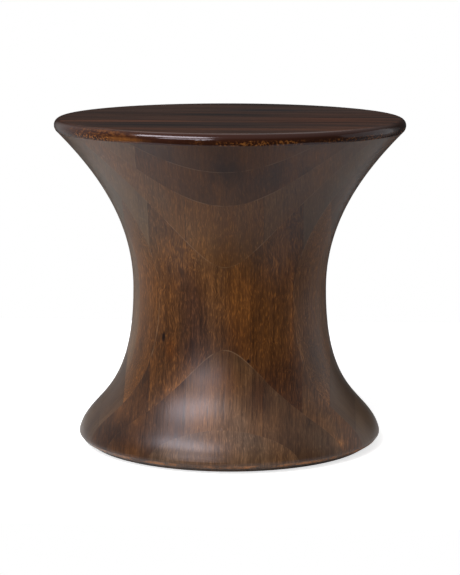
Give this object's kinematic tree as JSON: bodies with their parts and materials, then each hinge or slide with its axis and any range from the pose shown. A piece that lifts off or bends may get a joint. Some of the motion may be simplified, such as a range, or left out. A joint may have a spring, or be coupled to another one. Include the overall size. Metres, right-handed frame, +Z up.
{
  "type": "stool",
  "caption": "Round hourglass stool or side table turned from a glued block of upright dark-stained boards, with a separate round plank top and a soft base rim.",
  "frame": {"origin": "on the floor under the middle of the stool, at the underside of the felt pads", "axes": "+Z up along the turning axis, -Y to the front, +X to the right seen from the front"},
  "size_m": [0.488, 0.488, 0.457],
  "materials": {
    "block_wood": "satin dark stain",
    "top_wood": "semi-gloss dark stain",
    "dowel_wood": "bare",
    "felt": "felt"
  },
  "bodies": {
    "root": {"back_board_left": "block_wood", "back_board_right": "block_wood", "base_back_layer1_board1": "block_wood", "base_back_layer1_board2": "block_wood", "base_back_layer1_board3": "block_wood", "base_back_layer2_board1": "block_wood", "base_corner_back_left": "block_wood", "base_corner_back_right": "block_wood", "base_corner_front_left": "block_wood", "base_corner_front_right": "block_wood", "base_front_layer1_board1": "block_wood", "base_front_layer1_board2": "block_wood", "base_front_layer1_board3": "block_wood", "base_front_layer2_board1": "block_wood", "base_left_layer1": "block_wood", "base_left_layer2": "block_wood", "base_right_layer1": "block_wood", "base_right_layer2": "block_wood", "core_layer1_left": "block_wood", "core_layer1_right": "block_wood", "core_layer2_left": "block_wood", "core_layer2_right": "block_wood", "core_layer3_left": "block_wood", "core_layer3_right": "block_wood", "core_layer4_left": "block_wood", "core_layer4_right": "block_wood", "core_layer5_left": "block_wood", "core_layer5_right": "block_wood", "dowels": "dowel_wood", "felt_pads": "felt", "front_board_left": "block_wood", "front_board_right": "block_wood", "top_plank_1": "top_wood", "top_plank_2": "top_wood", "top_plank_3": "top_wood", "top_plank_4": "top_wood", "top_plank_5": "top_wood", "top_plank_6": "top_wood", "upper_back_layer1_board1": "block_wood", "upper_back_layer1_board2": "block_wood", "upper_back_layer1_board3": "block_wood", "upper_back_layer2_board1": "block_wood", "upper_back_layer2_board2": "block_wood", "upper_back_layer3_board1": "block_wood", "upper_corner_back_left": "block_wood", "upper_corner_back_right": "block_wood", "upper_corner_front_left": "block_wood", "upper_corner_front_right": "block_wood", "upper_front_layer1_board1": "block_wood", "upper_front_layer1_board2": "block_wood", "upper_front_layer1_board3": "block_wood", "upper_front_layer2_board1": "block_wood", "upper_front_layer2_board2": "block_wood", "upper_front_layer3_board1": "block_wood", "upper_left_layer1": "block_wood", "upper_left_layer2": "block_wood", "upper_left_layer3": "block_wood", "upper_right_layer1": "block_wood", "upper_right_layer2": "block_wood", "upper_right_layer3": "block_wood"}
  },
  "joints": []
}
